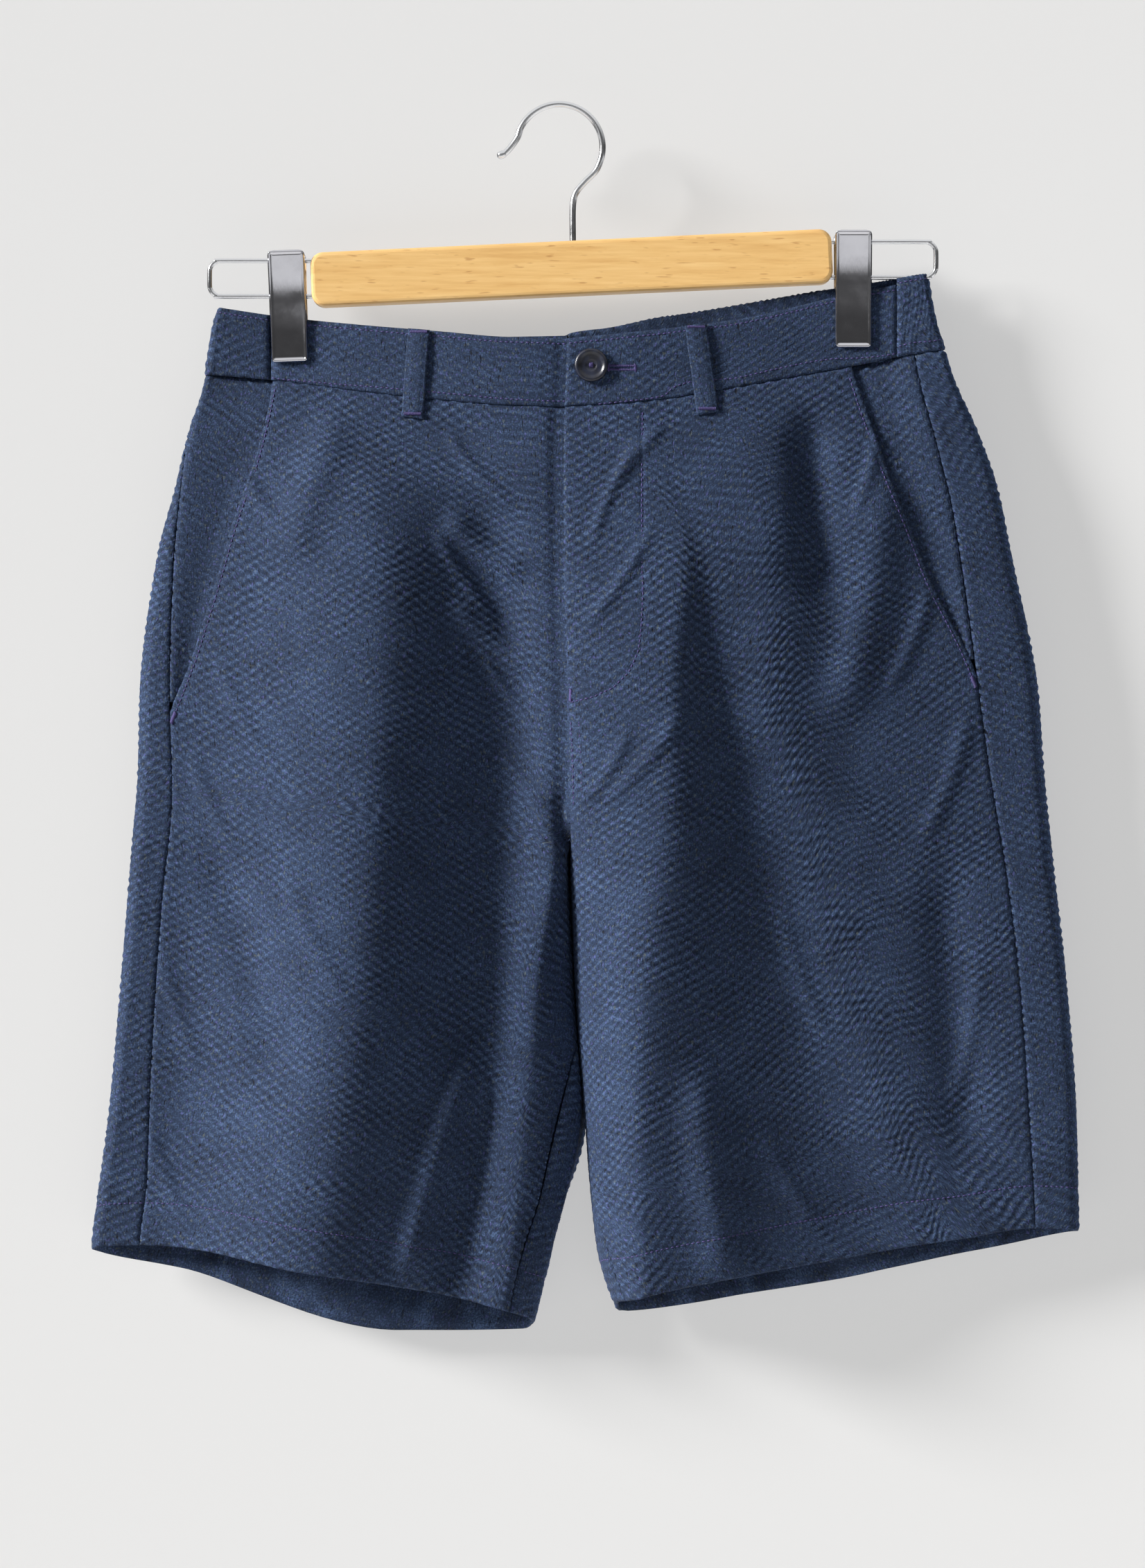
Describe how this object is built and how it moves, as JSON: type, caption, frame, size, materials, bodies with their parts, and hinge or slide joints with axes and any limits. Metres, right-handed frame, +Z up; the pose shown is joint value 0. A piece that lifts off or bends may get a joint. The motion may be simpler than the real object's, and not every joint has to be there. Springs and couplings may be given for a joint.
{
  "type": "bermuda shorts on a clip hanger",
  "caption": "Seersucker bermuda shorts with an elastic back waistband, slant pockets and belt loops, hung by the waistband from a wooden bar hanger with spring clips.",
  "frame": {"origin": "inside of the hook's crown, where the rail carries the hanger", "axes": "+Z up, +X to the wearer's left, -Y out of the front of the shorts"},
  "size_m": [0.5476, 0.0667, 0.6833],
  "materials": {
    "cloth": "navy seersucker cotton, puckered, with lighter blue and olive flecks",
    "button": "glossy navy, rimmed",
    "wood": "pale beech, clear satin varnish",
    "wire": "bright steel wire",
    "clip": "dark bright-plated pressed steel"
  },
  "bodies": {
    "root": {"front_right": "cloth", "front_left": "cloth", "back_right": "cloth", "back_left": "cloth", "pocket_facing_right": "cloth", "pocket_facing_left": "cloth", "waistband_front_right": "cloth", "waistband_front_left": "cloth", "waistband_back": "cloth", "belt_loop_front_right": "cloth", "belt_loop_front_left": "cloth", "belt_loop_back_right": "cloth", "belt_loop_back_centre": "cloth", "belt_loop_back_left": "cloth", "button": "button", "hanger_hook": "wire", "clip_wire_right": "wire", "clip_wire_left": "wire", "hanger_bar": "wood", "clip_front_right": "clip", "clip_back_right": "clip", "clip_spring_right": "wire", "clip_front_left": "clip", "clip_back_left": "clip", "clip_spring_left": "wire"}
  },
  "joints": []
}
